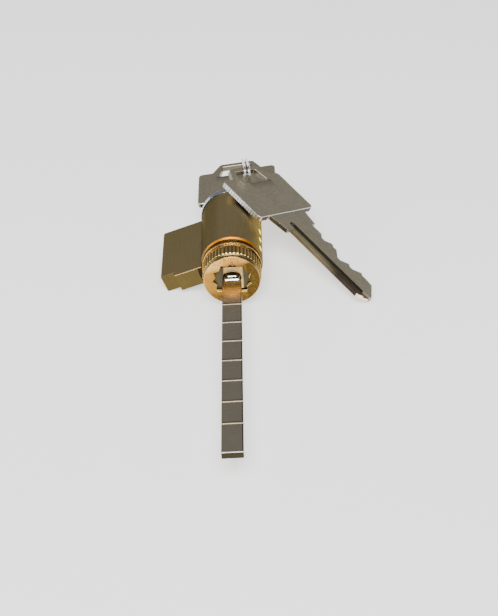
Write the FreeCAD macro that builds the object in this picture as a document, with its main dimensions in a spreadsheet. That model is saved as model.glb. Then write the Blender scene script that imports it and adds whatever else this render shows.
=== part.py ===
import FreeCAD
import Part
import Sketcher
import math
import os

Vector = FreeCAD.Vector
Rotation = FreeCAD.Rotation
Placement = FreeCAD.Placement

# Sliding glass door lock: a key-in-knob pin tumbler cylinder with its tail and two linked keys.
# Origin on the lock axis at the rear cap's face, +Y toward the keys, -X toward the pin block, +Z up.

doc = FreeCAD.newDocument("door_lock")
sheet = doc.addObject("Spreadsheet::Sheet", "Dims")
solids = []


class Size:
    """A number kept together with the sheet formula that gives it."""

    def __init__(self, value, text):
        self.value = float(value)
        self.text = text

    def __add__(self, other):
        other = as_size(other)
        return Size(self.value + other.value, "(%s + %s)" % (self.text, other.text))

    def __radd__(self, other):
        return as_size(other) + self

    def __sub__(self, other):
        other = as_size(other)
        return Size(self.value - other.value, "(%s - %s)" % (self.text, other.text))

    def __rsub__(self, other):
        return as_size(other) - self

    def __mul__(self, other):
        other = as_size(other)
        return Size(self.value * other.value, "(%s * %s)" % (self.text, other.text))

    def __rmul__(self, other):
        return as_size(other) * self

    def __truediv__(self, other):
        other = as_size(other)
        return Size(self.value / other.value, "(%s / %s)" % (self.text, other.text))

    def __neg__(self):
        return Size(-self.value, "(0 - %s)" % self.text)


def as_size(number):
    if isinstance(number, Size):
        return number
    return Size(number, "(0 - %.6f)" % -number if number < 0 else "%.6f" % number)


rows = []


def size(alias, value):
    rows.append(alias)
    sheet.set("A%d" % len(rows), alias)
    sheet.set("B%d" % len(rows), str(value))
    sheet.setAlias("B%d" % len(rows), alias)
    return Size(value, "Dims.%s" % alias)


def direction(alias, values):
    """Three sheet rows that together give one direction."""
    return Vector(*[size("%s_%s" % (alias, axis), value).value for axis, value in zip("xyz", values)])


# Fits and small edges
run_fit = size("running_clearance", 0.03)
slip_fit = size("slip_clearance", 0.05)
edge_break = size("edge_break", 0.2)

# Directions around the lock axis, in degrees
block_turn = size("pin_block_turn", -18.4)
plug_turn = size("plug_turn_at_rest", -5.8)
notch_turn = size("cap_notch_turn", 3.7)

# Pin stacks
stacks = 5
stack_pitch = size("stack_pitch", 4.0)
first_stack_y = size("front_stack_y", 26.2)
pin_r = size("pin_radius", 1.3)
chamber_r = pin_r + slip_fit
root_u = [size("key_cut_depth_%d" % (n + 1), cut) for n, cut in enumerate((3.2, 3.95, 1.6, 2.6, 3.75))]
cut_flat = size("key_cut_half_flat", 0.6)
cut_slope = size("key_cut_flank_slope", 0.9)
pin_tip_flat = size("pin_tip_half_flat", 0.5)
pin_tip_slope = size("pin_tip_slope", 0.95)
pin_tip_gap = size("pin_tip_gap", 0.02)
driver_gap = size("driver_pin_gap_above_plug", 0.05)
driver_length = size("driver_pin_length", 4.2)

# Shell
barrel_r = size("barrel_radius", 8.25)
bore_r = barrel_r - size("barrel_wall", 1.87)
plug_r = bore_r - run_fit
barrel_y0 = size("barrel_rear_y", 7.7)
barrel_y1 = size("barrel_front_y", 30.3)
mouth = size("barrel_mouth_chamfer", 0.6)
barrel_edge = size("barrel_edge_chamfer", 0.4)
block_reach = size("pin_block_reach", 19.8)
block_thick = size("pin_block_thickness", 5.05)
block_y1 = size("pin_block_front_y", 29.6)
block_step_x = size("pin_block_step_reach", 15.5)
block_step_y = size("pin_block_step_y", 6.8)
block_y0 = size("pin_block_rear_y", 8.5)
block_root_x = barrel_r - size("pin_block_root_sink", 0.45)
block_inner_x = barrel_r - size("pin_block_inner_sink", 1.25)
block_edge = size("pin_block_edge_chamfer", 0.3)
cover_wide = size("chamber_cover_width", 3.6)
cover_thick = size("chamber_cover_thickness", 1.0)
cover_y0 = size("chamber_cover_rear_y", 8.9)
cover_y1 = size("chamber_cover_front_y", 29.2)
dimple_r = size("drill_mark_radius", 0.75)
dimple_over = size("drill_mark_overrun", 0.05)
dimple_deep = size("drill_mark_depth", 0.5)

# Front collar
collar_r = barrel_r + size("collar_lip", 0.3)
collar_bore = plug_r + size("collar_bore_clearance", 0.15)
collar_y1 = size("collar_front_y", 32.2)
collar_round = size("collar_edge_round", 0.5)

# Plug
plug_y1 = collar_y1
plug_step_y = size("plug_hub_shoulder_y", 8.15)
hub_r = plug_r - size("plug_hub_step", 0.4)
hub_y0 = size("plug_hub_rear_y", 2.6)
pin_hole_deep_x = size("plug_pin_hole_floor_x", 0.6)
pin_top_r = plug_r - size("key_pin_top_below_plug_surface", 0.15)

# Keys
blade_thick = size("key_blade_thickness", 1.2)
bow_thick = size("key_bow_thickness", 1.6)
bow_wide = size("key_bow_width", 22.7)
bow_tall = size("key_bow_height", 16.0)
hump_base = size("key_hump_base_half_width", 7.25)
hump_top = size("key_hump_top_half_width", 4.9)
hump_top_v = size("key_hump_top_height", 20.2)
hole_v0 = size("key_hole_bottom", 13.6)
hole_v1 = size("key_hole_top", 18.7)
hole_base = size("key_hole_base_half_width", 5.25)
hole_top = size("key_hole_top_half_width", 4.2)
bow_corner = size("key_bow_corner_radius", 1.2)
hole_corner = size("key_hole_corner_radius", 0.5)
bow_edge = size("key_bow_edge_chamfer", 0.15)
neck_top = size("key_neck_half_width_at_bow", 7.0)
neck_low = size("key_neck_half_width_at_shoulder", 5.9)
shoulder_v = size("key_shoulder", -6.1)
shoulder_drop = size("key_shoulder_drop", 0.1)
blade_back = size("key_blade_back_edge", -4.25)
blade_top = size("key_blade_cut_edge", 4.5)
tip_top_u = size("key_tip_top_u", 3.5)
tip_top_v = size("key_tip_top_v", -31.7)
tip_u = size("key_tip_u", -0.8)
tip_v = size("key_tip_v", -35.5)
tip_back_u = size("key_tip_back_u", -1.9)
tip_back_v = size("key_tip_back_v", -33.3)
cut_offset = size("key_axis_offset_from_lock_axis", 1.6)
key_y = plug_y1 + slip_fit + shoulder_drop - shoulder_v
groove_deep = size("key_groove_depth", 0.45)
front_groove_u = size("key_front_groove_u", -2.3)
back_groove_u = size("key_back_groove_u", 0.3)
groove_half = size("key_groove_half_width", 0.85)
groove_start_v = size("key_groove_start_v", -3.7)
keyway_floor = size("keyway_floor_from_axis", 3.0)
keyway_open = plug_r + size("keyway_open_side_margin", 0.25)

# Rear cap
cap_r = barrel_r - size("cap_face_step", 0.81)
cap_wall = size("cap_end_wall", 1.05)
cap_bore = hub_r + slip_fit
cap_edge = size("cap_face_edge", 0.14)
cap_groove_r = cap_r - size("cap_groove_depth", 0.24)
cap_groove_y0 = size("cap_groove_rear_y", 0.4)
cap_groove_y1 = size("cap_groove_front_y", 1.25)
knurl_r = barrel_r - size("cap_knurl_step", 0.5)
knurl_y0 = size("cap_knurl_rear_y", 1.45)
knurl_y1 = size("cap_knurl_front_y", 5.35)
knurl_edge = size("cap_knurl_end_chamfer", 0.25)
knurl_deep = size("cap_knurl_depth", 0.25)
flutes = 48
neck_r = knurl_r - size("cap_neck_depth", 0.3)
flange_r = barrel_r - size("cap_flange_step", 0.3)
flange_y0 = size("cap_flange_rear_y", 5.6)
flange_y1 = size("cap_flange_front_y", 6.3)
cap_hub_r = cap_groove_r
cap_y1 = size("cap_front_y", 7.6)
star_r = size("star_opening_radius", 4.5)
star_tip_r = size("star_notch_tip_radius", 5.36)
star_half = size("star_notch_half_width", 1.1)
star_notches = 11

# Cap pin and its spring
cap_pin_r = size("cap_pin_radius", 0.45)
cap_pin_at = size("cap_pin_radius_from_axis", 4.72)
cap_pin_y0 = size("cap_pin_rear_y", 0.4)
cap_pin_y1 = size("cap_pin_front_y", 6.0)
cap_hole_y1 = size("cap_pin_hole_floor_y", 12.0)

# Tail
plate_r = cap_bore - size("tail_plate_play", 0.25)
plate_flat = size("tail_plate_half_across_flats", 3.4)
plate_y0 = size("tail_plate_rear_y", 1.1)
plate_y1 = size("tail_plate_front_y", 2.5)
plate_recess_r = size("tail_plate_recess_radius", 2.45)
plate_recess_y = size("tail_plate_recess_floor_y", 1.9)
tail_wide = size("tail_blade_width", 5.0)
tail_thick = size("tail_blade_thickness", 1.75)
tail_y0 = size("tail_blade_end_y", -65.9)
tail_root_wide = size("tail_root_width", 4.3)
tail_root_y = size("tail_root_end_y", -0.8)
tail_shoulder_y = size("tail_shoulder_y", -1.5)
score_count = 7
score_y = size("first_score_y", -11.4)
score_pitch = size("score_pitch", 7.48)
score_half = size("score_half_width", 0.4)
score_deep = size("score_depth", 0.35)

doc.recompute()


def bind(thing, field, value):
    value = as_size(value)
    thing.setExpression(field, value.text)


def new_body(label, turn=None, row_y=None):
    """Start a body named after its file, turned about the lock axis or set along it."""
    body = doc.addObject("PartDesign::Body", label)
    body.Label = label
    if turn:
        body.Placement = Placement(Vector(), Rotation(Vector(0, 1, 0), turn.value))
        bind(body, "Placement.Rotation.Angle", turn)
    if row_y:
        bind(body, "Placement.Base.y", row_y)
    solids.append(body)
    return body


def origin_part(body, role):
    return [item for item in body.Origin.OriginFeatures if item.Role == role][0]


def outline(body, role, points, offset=0):
    """A closed outline on one of the body's own planes, every corner tied to the sheet."""
    drawing = body.newObject("Sketcher::SketchObject", "Outline")
    drawing.AttachmentSupport = [(origin_part(body, role), "")]
    drawing.MapMode = "FlatFace"
    bind(drawing, ".AttachmentOffset.Base.z", offset)
    add_loop(drawing, points)
    return drawing


def add_loop(drawing, points):
    corners = [(as_size(x), as_size(y)) for x, y in points]
    first = drawing.GeometryCount
    for (x0, y0), (x1, y1) in zip(corners, corners[1:] + corners[:1]):
        start = Vector(x0.value, y0.value, 0)
        end = Vector(x1.value, y1.value, 0)
        drawing.addGeometry(Part.LineSegment(start, end), False)
    count = len(corners)
    for n in range(count):
        drawing.addConstraint(Sketcher.Constraint("Coincident", first + n, 2, first + (n + 1) % count, 1))
    for n, corner in enumerate(corners):
        for kind, value in zip(("DistanceX", "DistanceY"), corner):
            number = drawing.addConstraint(Sketcher.Constraint(kind, first + n, 1, value.value))
            bind(drawing, "Constraints[%d]" % number, value)


def circle_at(body, role, x, y, radius, offset=0):
    drawing = body.newObject("Sketcher::SketchObject", "Circle")
    drawing.AttachmentSupport = [(origin_part(body, role), "")]
    drawing.MapMode = "FlatFace"
    bind(drawing, ".AttachmentOffset.Base.z", offset)
    x, y, radius = as_size(x), as_size(y), as_size(radius)
    centre = Vector(x.value, y.value, 0)
    drawing.addGeometry(Part.Circle(centre, Vector(0, 0, 1), radius.value), False)
    for kind, value in (("DistanceX", x), ("DistanceY", y)):
        number = drawing.addConstraint(Sketcher.Constraint(kind, 0, 3, value.value))
        bind(drawing, "Constraints[%d]" % number, value)
    number = drawing.addConstraint(Sketcher.Constraint("Radius", 0, radius.value))
    bind(drawing, "Constraints[%d]" % number, radius)
    return drawing


def feature(body, kind, label, drawing, length=None, both_ways=False, backwards=False):
    item = body.newObject("PartDesign::" + kind, label)
    item.Profile = drawing
    if length is not None:
        bind(item, "Length", length)
        item.Midplane = both_ways
        item.Reversed = backwards
    drawing.Visibility = False
    return item


def turned(body, kind, label, drawing, axis="V_Axis"):
    """A full turn about the drawing's own vertical or horizontal axis."""
    item = body.newObject("PartDesign::" + kind, label)
    item.Profile = drawing
    item.ReferenceAxis = (drawing, [axis])
    item.Angle = 360.0
    drawing.Visibility = False
    return item


def in_a_row(body, label, original, direction, length, count):
    row = body.newObject("PartDesign::LinearPattern", label)
    row.Originals = [original]
    row.Direction = direction
    bind(row, "Length", length)
    row.Occurrences = count
    body.Tip = row
    return row


def around(body, label, original, count):
    ring = body.newObject("PartDesign::PolarPattern", label)
    ring.Originals = [original]
    ring.Axis = (origin_part(body, "Y_Axis"), [""])
    ring.Angle = 360.0
    ring.Occurrences = count
    body.Tip = ring
    return ring


def edges_where(item, test):
    names = []
    for number, edge in enumerate(item.Shape.Edges, 1):
        ends = [vertex.Point for vertex in edge.Vertexes]
        if len(ends) == 2 and test(ends[0], ends[1]):
            names.append("Edge%d" % number)
    return names


def trim_edges(body, kind, label, base, names, amount):
    item = body.newObject("PartDesign::" + kind, label)
    item.Base = (base, names)
    bind(item, "Radius" if kind == "Fillet" else "Size", amount)
    return item


def place(x, y, z):
    return Vector(x.value, y.value, z.value)


def facing(across, along):
    """The turn that lays a part's own X and Y along two given directions."""
    return Rotation(across, along, across.cross(along), "XYZ")


def stack_y(number):
    return first_stack_y - stack_pitch * number


def mirrored(points):
    return points + [(-as_size(x), y) for x, y in reversed(points)]


# Shell: the barrel with its rectangular pin block, one brass piece
shell = new_body("shell", block_turn)
turned(shell, "Revolution", "Barrel", outline(shell, "XY_Plane", [
    (0, barrel_y0), (barrel_r - barrel_edge, barrel_y0), (barrel_r, barrel_y0 + barrel_edge),
    (barrel_r, barrel_y1), (0, barrel_y1)]))
block = feature(shell, "Pad", "PinBlock", outline(shell, "XY_Plane", [
    (-block_inner_x, block_y1), (-block_reach, block_y1), (-block_reach, block_y0),
    (-block_step_x, block_y0), (-block_step_x, block_step_y), (-block_root_x, block_step_y),
    (-block_root_x, block_y0), (-block_inner_x, block_y0)]), block_thick, both_ways=True)
doc.recompute()


def block_corner(a, b):
    outer = min(abs(a.x), abs(b.x)) > block_step_x.value
    side = abs(abs(a.z) - block_thick.value / 2) < 0.01 and abs(a.z - b.z) < 0.01
    end = abs(a.x + block_reach.value) < 0.01 and abs(b.x + block_reach.value) < 0.01
    lengthwise = abs(a.y - b.y) > (block_y1.value - block_y0.value) / 2
    return (outer and side and end and lengthwise) or (end and abs(a.y - b.y) < 0.01)


trim_edges(shell, "Chamfer", "BlockEdges", block, edges_where(block, block_corner), block_edge)
turned(shell, "Groove", "Bore", outline(shell, "XY_Plane", [
    (0, barrel_y0), (bore_r + mouth, barrel_y0), (bore_r, barrel_y0 + mouth),
    (bore_r, barrel_y1), (0, barrel_y1)]))
chamber = feature(shell, "Pocket", "Chamber",
                  circle_at(shell, "YZ_Plane", first_stack_y, 0, chamber_r), block_reach)
y_axis = (origin_part(shell, "Y_Axis"), [""])
chambers = in_a_row(shell, "Chambers", chamber, y_axis, stack_pitch * (stacks - 1), stacks)
chambers.Reversed = True
slot = feature(shell, "Pocket", "CoverSlot", outline(shell, "YZ_Plane", [
    (cover_y0, cover_wide / 2), (cover_y1, cover_wide / 2),
    (cover_y1, -cover_wide / 2), (cover_y0, -cover_wide / 2)],
    -(block_reach - cover_thick)), cover_thick)
mark_drawing = outline(shell, "XY_Plane", [
    (barrel_r - dimple_deep, 0), (barrel_r + dimple_over, dimple_r), (barrel_r + dimple_over, 0)])
bind(mark_drawing, ".AttachmentOffset.Base.y", first_stack_y)
mark = turned(shell, "Groove", "DrillMark", mark_drawing, "H_Axis")
marks = in_a_row(shell, "DrillMarks", mark, y_axis, stack_pitch * (stacks - 1), stacks)
marks.Reversed = True

# Front collar: a plated trim ring seated on the barrel's front end
collar = new_body("front_collar")
turned(collar, "Revolution", "Ring", outline(collar, "XY_Plane", [
    (collar_bore, barrel_y1), (collar_r, barrel_y1), (collar_r, collar_y1 - collar_round),
    (collar_r - collar_round, collar_y1), (collar_bore, collar_y1)]))

# Chamber cover: a flat strip that closes the five chambers over their springs
cover = new_body("chamber_cover", block_turn)
feature(cover, "Pad", "Strip", outline(cover, "YZ_Plane", [
    (cover_y0, cover_wide / 2), (cover_y1, cover_wide / 2),
    (cover_y1, -cover_wide / 2), (cover_y0, -cover_wide / 2)],
    -block_reach), cover_thick)

# Plug: turned core with the keyway, five pin holes and the cap pin's blind hole
plug = new_body("plug", plug_turn)
turned(plug, "Revolution", "Core", outline(plug, "XY_Plane", [
    (0, hub_y0), (hub_r, hub_y0), (hub_r, plug_step_y), (plug_r, plug_step_y),
    (plug_r, plug_y1), (0, plug_y1)]))
way = blade_thick / 2 + slip_fit
ridge = blade_thick / 2 - groove_deep + slip_fit
ridge_half = groove_half - slip_fit * 2
back_x = cut_offset - back_groove_u
front_x = cut_offset - front_groove_u
feature(plug, "Pocket", "Keyway", outline(plug, "XZ_Plane", [
    (-keyway_floor, way),
    (back_x - ridge_half, way), (back_x - ridge_half, ridge),
    (back_x + ridge_half, ridge), (back_x + ridge_half, way),
    (keyway_open, way), (keyway_open, -way),
    (front_x + ridge_half, -way), (front_x + ridge_half, -ridge),
    (front_x - ridge_half, -ridge), (front_x - ridge_half, -way),
    (-keyway_floor, -way)]), plug_y1)
pin_hole = feature(plug, "Pocket", "PinHole",
                   circle_at(plug, "YZ_Plane", first_stack_y, 0, pin_r + run_fit, pin_hole_deep_x),
                   plug_r + pin_hole_deep_x)
plug_y_axis = (origin_part(plug, "Y_Axis"), [""])
pin_holes = in_a_row(plug, "PinHoles", pin_hole, plug_y_axis, stack_pitch * (stacks - 1), stacks)
pin_holes.Reversed = True
pin_angle = 90 - notch_turn.value + plug_turn.value
across = math.cos(math.radians(pin_angle))
along = math.sin(math.radians(pin_angle))
feature(plug, "Pocket", "CapPinHole",
        circle_at(plug, "XZ_Plane", cap_pin_at * across, cap_pin_at * along, cap_pin_r + slip_fit),
        cap_hole_y1)

# Key pins: each tapers to the cut it rests in and ends just under the plug's surface
for n in range(stacks):
    pin = new_body("key_pin_%d" % (n + 1), plug_turn, stack_y(n))
    tip = root_u[n] - cut_offset + pin_tip_gap
    shoulder = tip + (pin_r - pin_tip_flat) * pin_tip_slope
    turned(pin, "Revolution", "Pin", outline(pin, "XY_Plane", [
        (-tip, 0), (-tip, pin_tip_flat), (-shoulder, pin_r), (-pin_top_r, pin_r), (-pin_top_r, 0)]), "H_Axis")

# Driver pins: plain cylinders that stand on the plug inside the block's chambers
driver_start = plug_r + driver_gap
driver_top = driver_start + driver_length
for n in range(stacks):
    driver = new_body("driver_pin_%d" % (n + 1), block_turn, stack_y(n))
    turned(driver, "Revolution", "Pin", outline(driver, "XY_Plane", [
        (-driver_start, 0), (-driver_start, pin_r), (-driver_top, pin_r), (-driver_top, 0)]), "H_Axis")

# Coil springs: one unbroken square-section wire swept along a helix of short straight steps
def coil_line(radius, pitch, turns):
    """Equal steps round the coil; each rises by its share of the pitch."""
    points = []
    for step in range(int(turns * coil_steps) + 1):
        angle = 2 * math.pi * step / coil_steps
        rise = pitch * step / coil_steps
        points.append(Vector(radius * math.cos(angle), radius * math.sin(angle), rise))
    return Part.makePolygon(points)


def swept_wire(line, wire_r, sides):
    """Sweeps a many-sided section along the line, mitred at its corners, as one closed tube."""
    first = line.Edges[0]
    ring = Part.Circle(first.valueAt(first.FirstParameter), first.tangentAt(first.FirstParameter), wire_r)
    corners = [ring.value(2 * math.pi * (side + 0.5) / sides) for side in range(sides + 1)]
    return line.makePipeShell([Part.makePolygon(corners)], True, False, 1)


def least_gap(line, wire_r, apart):
    """The smallest open distance between points at least a given length apart along the wire."""
    step = wire_r
    points = line.discretize(Distance=step)
    skip = int(apart / step)
    gap = line.Length
    for n, point in enumerate(points):
        for other in points[n + skip:]:
            gap = min(gap, point.distanceToPoint(other) - 2 * wire_r)
    return gap


def add_wire(label, line, wire_r, sides, where, apart):
    item = doc.addObject("Part::Feature", label)
    item.Label = label
    item.Shape = swept_wire(line, wire_r, sides)
    item.Placement = where
    solids.append(item)
    print("%s least gap %.3f mm" % (label, least_gap(line, wire_r, apart)))


def coil_spring(label, radius, wire_r, low, high, where):
    pitch = (high.value - low.value - 2 * wire_r.value) / coil_turns
    line = coil_line(radius.value, pitch, coil_turns)
    add_wire(label, line, wire_r.value, coil_sides, where, math.pi * radius.value)


coil_turns = 5
coil_steps = 8
coil_sides = 4
spring_wire_r = size("pin_spring_wire_radius", 0.16)
spring_r = size("pin_spring_mean_radius", 0.95)
spring_low = driver_top + slip_fit
spring_high = block_reach - cover_thick - slip_fit
to_block = Rotation(Vector(0, 1, 0), block_turn.value) * Rotation(Vector(0, 0, 1), Vector(-1, 0, 0))
for n in range(stacks):
    foot = to_block.multVec(Vector(0, 0, spring_low.value + spring_wire_r.value))
    coil_spring("pin_spring_%d" % (n + 1), spring_r, spring_wire_r, spring_low, spring_high,
                Placement(foot + Vector(0, stack_y(n).value, 0), to_block))

# Rear cap: knurled ring screwed on the plug's hub, its end wall pierced by a notched opening
cap = new_body("rear_cap", notch_turn)
turned(cap, "Revolution", "Turning", outline(cap, "XY_Plane", [
    (0, 0), (cap_r - cap_edge, 0), (cap_r, cap_edge), (cap_groove_r, cap_groove_y0), (cap_groove_r, cap_groove_y1),
    (knurl_r - knurl_edge, knurl_y0), (knurl_r, knurl_y0 + knurl_edge),
    (knurl_r, knurl_y1 - knurl_edge), (neck_r, knurl_y1), (neck_r, flange_y0),
    (flange_r, flange_y0), (flange_r, flange_y1), (cap_hub_r, flange_y1), (cap_hub_r, cap_y1),
    (cap_bore, cap_y1), (cap_bore, cap_wall), (0, cap_wall)]))
flute_half = knurl_r * math.tan(math.pi / flutes)
flute = feature(cap, "Pocket", "Flute", outline(cap, "XZ_Plane", [
    (-flute_half, knurl_r + edge_break / 10), (0, knurl_r - knurl_deep),
    (flute_half, knurl_r + edge_break / 10)], -(cap_groove_y1 + edge_break / 2)),
    knurl_y1 - cap_groove_y1)
around(cap, "Knurl", flute, flutes)
feature(cap, "Pocket", "Opening", circle_at(cap, "XZ_Plane", 0, 0, star_r), cap_wall)
star_notch = feature(cap, "Pocket", "StarNotch", outline(cap, "XZ_Plane", [
    (-star_half, star_r - edge_break / 2), (star_half, star_r - edge_break / 2),
    (0, star_tip_r)]), cap_wall)
around(cap, "StarNotches", star_notch, star_notches)

# Cap pin: a small pin in the plug that stands in one notch and keeps the cap from turning off
cap_pin = new_body("cap_pin", notch_turn)
pin_drawing = outline(cap_pin, "XY_Plane", [
    (0, cap_pin_y0), (cap_pin_r, cap_pin_y0), (cap_pin_r, cap_pin_y1), (0, cap_pin_y1)], cap_pin_at)
turned(cap_pin, "Revolution", "Pin", pin_drawing)

small_wire_r = size("cap_pin_spring_wire_radius", 0.09)
small_spring_r = size("cap_pin_spring_mean_radius", 0.34)
to_cap = Rotation(Vector(0, 1, 0), notch_turn.value)
upward = Rotation(Vector(0, 0, 1), Vector(0, 1, 0))
small_foot = to_cap.multVec(Vector(0, cap_pin_y1.value + slip_fit.value + small_wire_r.value, cap_pin_at.value))
coil_spring("cap_pin_spring", small_spring_r, small_wire_r, cap_pin_y1 + slip_fit,
            cap_hole_y1 - slip_fit, Placement(small_foot, upward))

# Tail plate: steel disc with two flats that turns a little in the cap before it drives
plate = new_body("tail_plate")
turned(plate, "Revolution", "Disc", outline(plate, "XY_Plane", [
    (0, plate_y0), (plate_r, plate_y0), (plate_r, plate_y1), (0, plate_y1)]))
for side in (1, -1):
    feature(plate, "Pocket", "Flat", outline(plate, "XZ_Plane", [
        (-plate_r, plate_flat * side), (plate_r, plate_flat * side),
        (plate_r, (plate_r + slip_fit) * side), (-plate_r, (plate_r + slip_fit) * side)]), plate_y1)
feature(plate, "Pocket", "TailSlot", outline(plate, "XZ_Plane", [
    (-tail_root_wide / 2, -tail_thick / 2), (tail_root_wide / 2, -tail_thick / 2),
    (tail_root_wide / 2, tail_thick / 2), (-tail_root_wide / 2, tail_thick / 2)]), plate_y1)

feature(plate, "Pocket", "Recess", circle_at(plate, "XZ_Plane", 0, 0, plate_recess_r), plate_recess_y)

# Tail blade: flat steel strip scored for snapping to length, its root staked in the plate
tail = new_body("tail_blade")
strip = feature(tail, "Pad", "Strip", outline(tail, "XY_Plane", mirrored([
    (tail_root_wide / 2, plate_y1), (tail_root_wide / 2, tail_root_y),
    (tail_wide / 2, tail_shoulder_y), (tail_wide / 2, tail_y0)])), tail_thick, both_ways=True)
cuts = outline(tail, "YZ_Plane", [
    (score_y - score_half, tail_thick / 2), (score_y, tail_thick / 2 - score_deep),
    (score_y + score_half, tail_thick / 2)])
add_loop(cuts, [
    (score_y - score_half, -tail_thick / 2), (score_y, score_deep - tail_thick / 2),
    (score_y + score_half, -tail_thick / 2)])
score = feature(tail, "Pocket", "Score", cuts, tail_wide * 2, both_ways=True)
scores = in_a_row(tail, "Scores", score, (origin_part(tail, "Y_Axis"), [""]),
                  score_pitch * (score_count - 1), score_count)
scores.Reversed = True


# Spare key and link: where they hang, as measured directions and centres
spare_x = size("spare_key_x", 15.219)
spare_y = size("spare_key_y", 25.398)
spare_z = size("spare_key_z", 3.169)
spare_across = direction("spare_key_across", (0.65889, 0.67859, -0.32462))
spare_along = direction("spare_key_along", (-0.60326, 0.73447, 0.31087))
link_x = size("key_link_x", 4.435)
link_y = size("key_link_y", 47.495)
link_z = size("key_link_z", 5.458)
link_along = direction("key_link_along", (-0.04134, 0.90022, -0.43346))
link_upright = direction("key_link_upright", (-0.01839, 0.43308, 0.90117))
link_wire_r = size("key_link_wire_radius", 0.35)
link_spacing = size("key_link_turn_spacing", 1.12)
link_half = size("key_link_half_straight", 12.22)
link_end_r = size("key_link_end_radius", 1.45)
link_cross = size("key_link_crossing_half_length", 2.0)
link_end_gap = size("key_link_end_gap", 0.5)
link_sides = 6


def link_line():
    """Two long turns side by side; the wire crosses from one to the other on the lower run."""
    half = link_half.value
    end_r = link_end_r.value
    side = link_spacing.value / 2
    cross = link_cross.value
    bend = 2 * math.atan2(side, cross)
    bend_r = cross / math.sin(bend)

    def straight(x0, x1, y, z):
        return Part.makeLine(Vector(x0, y, z), Vector(x1, y, z))

    def end_arc(x, way, z):
        return Part.Arc(Vector(x, -way * end_r, z), Vector(x + way * end_r, 0, z),
                        Vector(x, way * end_r, z)).toShape()

    def swing(way):
        middle = Vector(-way * (cross - bend_r * math.sin(bend / 2)), -end_r,
                        -way * (side - bend_r * (1 - math.cos(bend / 2))))
        ends = [Vector(-way * cross, -end_r, -way * side), Vector(0, -end_r, 0)]
        if way < 0:
            ends.reverse()
        return Part.Arc(ends[0], middle, ends[1]).toShape()

    first = [straight(cross + link_end_gap.value, half, -end_r, -side), end_arc(half, 1, -side),
             straight(half, -half, end_r, -side), end_arc(-half, -1, -side),
             straight(-half, -cross, -end_r, -side)]
    second = [straight(cross, half, -end_r, side), end_arc(half, 1, side),
              straight(half, -half, end_r, side), end_arc(-half, -1, side),
              straight(-half, -cross - link_end_gap.value, -end_r, side)]
    return Part.Wire(first + [swing(1), swing(-1)] + second)


# Keys: stamped nickel silver blanks with a wide bow, pierced hump, ward grooves and five cuts
def key_profile():
    """Blade outline; where two flanks meet below the cut edge they meet in a peak."""
    points = [(-neck_top, edge_break), (-neck_low, shoulder_v),
              (blade_back, shoulder_v - shoulder_drop), (blade_back, tip_back_v),
              (tip_back_u, tip_v), (tip_u, tip_v), (tip_top_u, tip_top_v)]
    for n in reversed(range(stacks)):
        middle = stack_y(n) - key_y
        points.append((root_u[n], middle - cut_flat))
        points.append((root_u[n], middle + cut_flat))
        if n:
            span = stack_pitch - cut_flat * 2
            peak = (root_u[n] + root_u[n - 1] + span * cut_slope) / 2
            if peak.value > blade_top.value:
                points.append((blade_top, middle + cut_flat + (blade_top - root_u[n]) / cut_slope))
                points.append((blade_top, middle + stack_pitch - cut_flat
                               - (blade_top - root_u[n - 1]) / cut_slope))
            else:
                points.append((peak, middle + cut_flat + (peak - root_u[n]) / cut_slope))
    points.append((blade_top, stack_y(0) - key_y + cut_flat + (blade_top - root_u[0]) / cut_slope))
    points.append((blade_top, shoulder_v - shoulder_drop))
    points.append((neck_low, shoulder_v))
    points.append((neck_top, edge_break))
    return points


def make_key(label):
    body = new_body(label)
    bow_drawing = outline(body, "XY_Plane", mirrored([
        (bow_wide / 2, 0), (bow_wide / 2, bow_tall), (hump_base, bow_tall), (hump_top, hump_top_v)]))
    add_loop(bow_drawing, mirrored([(hole_base, hole_v0), (hole_top, hole_v1)]))
    bow = feature(body, "Pad", "Bow", bow_drawing, bow_thick, both_ways=True)
    doc.recompute()

    def upright(a, b):
        return abs(a.x - b.x) < 0.01 and abs(a.y - b.y) < 0.01

    def bow_upright(a, b):
        outer = abs(a.x) > bow_wide.value / 2 - 0.1 or a.y > hump_top_v.value - 0.1
        return upright(a, b) and outer

    def hole_upright(a, b):
        return upright(a, b) and abs(a.x) < hole_base.value + 0.1 and a.y < hole_v1.value + 0.1

    soft = trim_edges(body, "Fillet", "BowCorners", bow, edges_where(bow, bow_upright), bow_corner)
    doc.recompute()
    holed = trim_edges(body, "Fillet", "HoleCorners", soft, edges_where(soft, hole_upright), hole_corner)
    doc.recompute()

    def rim(a, b):
        return abs(abs(a.z) - bow_thick.value / 2) < 0.01 and abs(a.z - b.z) < 0.01

    edged = trim_edges(body, "Chamfer", "BowRim", holed, edges_where(holed, rim), bow_edge)
    feature(body, "Pad", "Blade", outline(body, "XY_Plane", key_profile()), blade_thick, both_ways=True)
    for u, face in ((front_groove_u, 1), (back_groove_u, -1)):
        ends = [(u - groove_half, tip_v - edge_break), (u + groove_half, tip_v - edge_break),
                (u + groove_half, groove_start_v - groove_half), (u + groove_half / 2, groove_start_v - groove_half / 4),
                (u, groove_start_v), (u - groove_half / 2, groove_start_v - groove_half / 4),
                (u - groove_half, groove_start_v - groove_half)]
        cut = outline(body, "XY_Plane", ends, (blade_thick / 2) * face)
        feature(body, "Pocket", "WardGroove", cut, groove_deep, backwards=face < 0)
    return body


lock_key = make_key("key_in_lock")
in_lock = Rotation(Vector(0, 1, 0), 180 + plug_turn.value)
lock_key.Placement = Placement(in_lock.multVec(Vector(-cut_offset.value, key_y.value, 0)), in_lock)

spare = make_key("spare_key")
spare.Placement = Placement(place(spare_x, spare_y, spare_z), facing(spare_across, spare_along))

# Key link: one wire bent into two long turns that pass through both bow holes
add_wire("key_link", link_line(), link_wire_r.value, link_sides,
         Placement(place(link_x, link_y, link_z), facing(link_along, link_upright)),
         math.pi * link_end_r.value)

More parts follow.
